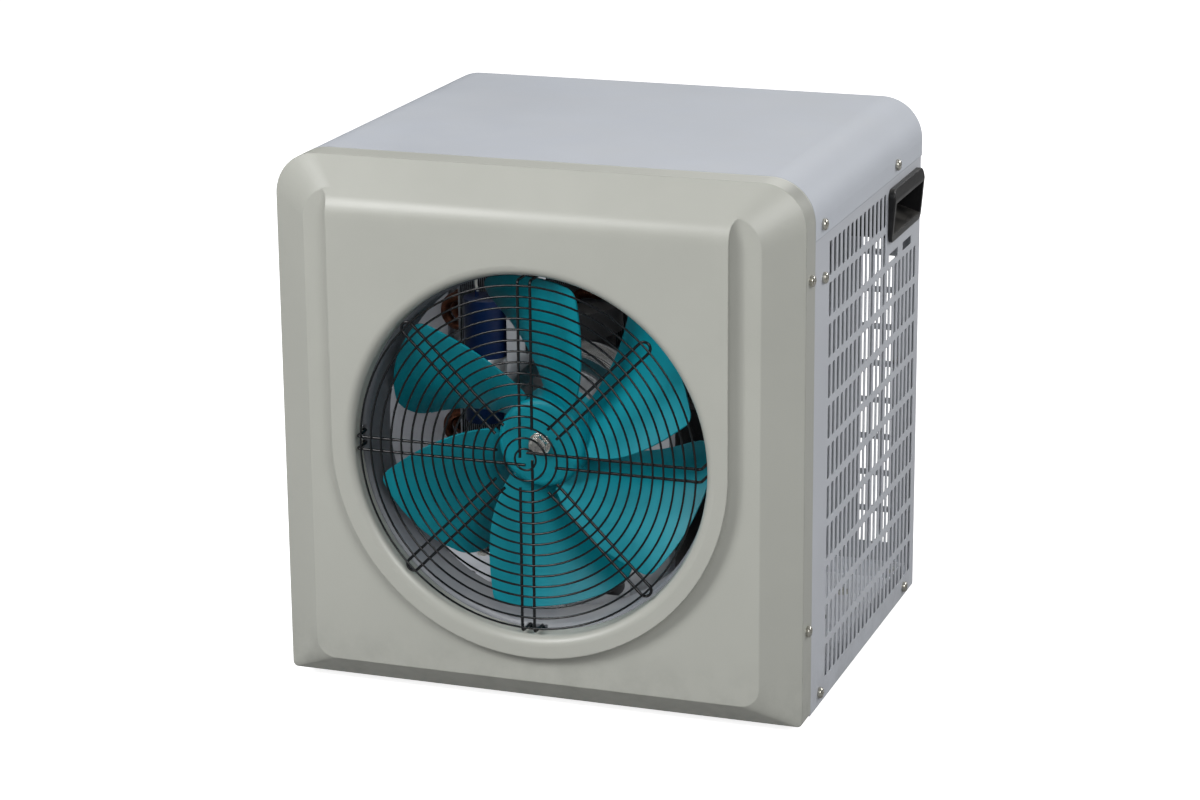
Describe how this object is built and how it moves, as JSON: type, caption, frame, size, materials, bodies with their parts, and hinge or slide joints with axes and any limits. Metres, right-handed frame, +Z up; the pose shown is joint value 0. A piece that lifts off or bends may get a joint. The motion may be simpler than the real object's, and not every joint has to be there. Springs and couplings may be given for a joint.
{
  "type": "pool heat pump unit",
  "caption": "Compact boxed air-source pool heat pump: fan behind a round wire guard in a moulded front, slotted sheet panels, side grips, rear water unions.",
  "frame": {"origin": "on the ground, midway between the two sides and midway between the front of the fan guard and the ends of the hose tails", "axes": "+X to the right as one faces the fan, +Y to the rear, +Z up"},
  "size_m": [0.4204, 0.4288, 0.416],
  "materials": {
    "front_paint": "warm light grey, fine satin",
    "cover_paint": "cool light grey powder coat, satin",
    "side_paint": "cool light grey powder coat, satin",
    "guard_coating": "black dip coating over steel wire, semi-gloss",
    "black_plastic": "black moulded plastic, fine grain",
    "dark_plastic": "dark grey moulded plastic",
    "shroud_plastic": "mid grey moulded plastic",
    "fan_plastic": "teal moulded plastic, semi-gloss",
    "rubber": "black rubber",
    "zinc": "zinc plated steel",
    "steel": "turned steel",
    "lamination": "stacked steel laminations",
    "cast_aluminium": "die cast",
    "galvanised": "galvanised sheet",
    "blue_plastic": "dark blue plastic case",
    "black_paint": "black enamel",
    "foam": "black closed cell foam",
    "fin_aluminium": "thin fins, coated",
    "copper": "copper tube, slightly oxidised",
    "titanium": "titanium tube",
    "board": "circuit board with parts",
    "window": "smoked display window",
    "button_grey": "light grey button caps"
  },
  "bodies": {
    "cabinet": {"front_panel": "front_paint", "fan_guard": "guard_coating", "top_cover": "cover_paint", "right_side_panel": "side_paint", "left_side_panel": "side_paint", "rear_panel": "side_paint", "base_pan": "side_paint", "right_handle": "black_plastic", "left_handle": "black_plastic", "rubber_feet": "rubber", "foot_screws": "zinc", "front_panel_screws": "zinc", "top_cover_screws": "zinc", "side_panel_screws": "zinc", "rear_panel_screws": "zinc", "fan_shroud": "shroud_plastic", "motor_stator_core": "lamination", "motor_front_bell": "cast_aluminium", "motor_rear_bell": "cast_aluminium", "motor_bearings": "steel", "motor_bolts": "zinc", "motor_bracket": "side_paint", "motor_capacitor": "blue_plastic", "capacitor_clamp": "galvanised", "compressor_shell": "black_paint", "compressor_jacket": "foam", "compressor_grommets": "rubber", "compressor_bolts": "zinc", "accumulator": "black_paint", "evaporator_fins": "fin_aluminium", "evaporator_tubes": "copper", "evaporator_end_plates": "galvanised", "exchanger_shell": "dark_plastic", "exchanger_coil": "titanium", "suction_line": "copper", "discharge_line": "copper", "liquid_line": "copper", "inlet_water_pipe": "dark_plastic", "outlet_water_pipe": "dark_plastic", "inlet_hose_tail": "dark_plastic", "outlet_hose_tail": "dark_plastic", "union_o_rings": "rubber", "condensate_spout": "dark_plastic", "electrical_box": "galvanised", "electrical_box_lid": "galvanised", "control_board": "board", "controller_housing": "black_plastic", "controller_window": "window", "cable_gland": "black_plastic", "mains_cable": "rubber"},
    "fan": {"fan_impeller": "fan_plastic", "fan_nut": "zinc", "motor_shaft": "steel", "motor_rotor": "steel"},
    "inlet_nut": {"inlet_union_nut": "black_plastic"},
    "outlet_nut": {"outlet_union_nut": "black_plastic"},
    "key_1": {"button_1": "button_grey"},
    "key_2": {"button_2": "button_grey"},
    "key_3": {"button_3": "button_grey"},
    "key_4": {"button_4": "button_grey"}
  },
  "joints": [
    {"name": "fan_spin", "type": "hinge", "parent": "cabinet", "child": "fan", "pos_m": [0, -0.12295, 0.206], "axis": [0, -1, 0], "continuous": true},
    {"name": "inlet_union_turn", "type": "hinge", "parent": "cabinet", "child": "inlet_nut", "pos_m": [0.062, 0.16655, 0.092], "axis": [0, 1, 0], "continuous": true},
    {"name": "outlet_union_turn", "type": "hinge", "parent": "cabinet", "child": "outlet_nut", "pos_m": [0.062, 0.16655, 0.176], "axis": [0, 1, 0], "continuous": true},
    {"name": "button_1_press", "type": "slide", "parent": "cabinet", "child": "key_1", "axis": [1, 0, 0], "range_m": [0, 0.0008], "stiffness_N_per_m": 600, "springref_m": -0.0005},
    {"name": "button_2_press", "type": "slide", "parent": "cabinet", "child": "key_2", "axis": [1, 0, 0], "range_m": [0, 0.0008], "stiffness_N_per_m": 600, "springref_m": -0.0005},
    {"name": "button_3_press", "type": "slide", "parent": "cabinet", "child": "key_3", "axis": [1, 0, 0], "range_m": [0, 0.0008], "stiffness_N_per_m": 600, "springref_m": -0.0005},
    {"name": "button_4_press", "type": "slide", "parent": "cabinet", "child": "key_4", "axis": [1, 0, 0], "range_m": [0, 0.0008], "stiffness_N_per_m": 600, "springref_m": -0.0005}
  ]
}
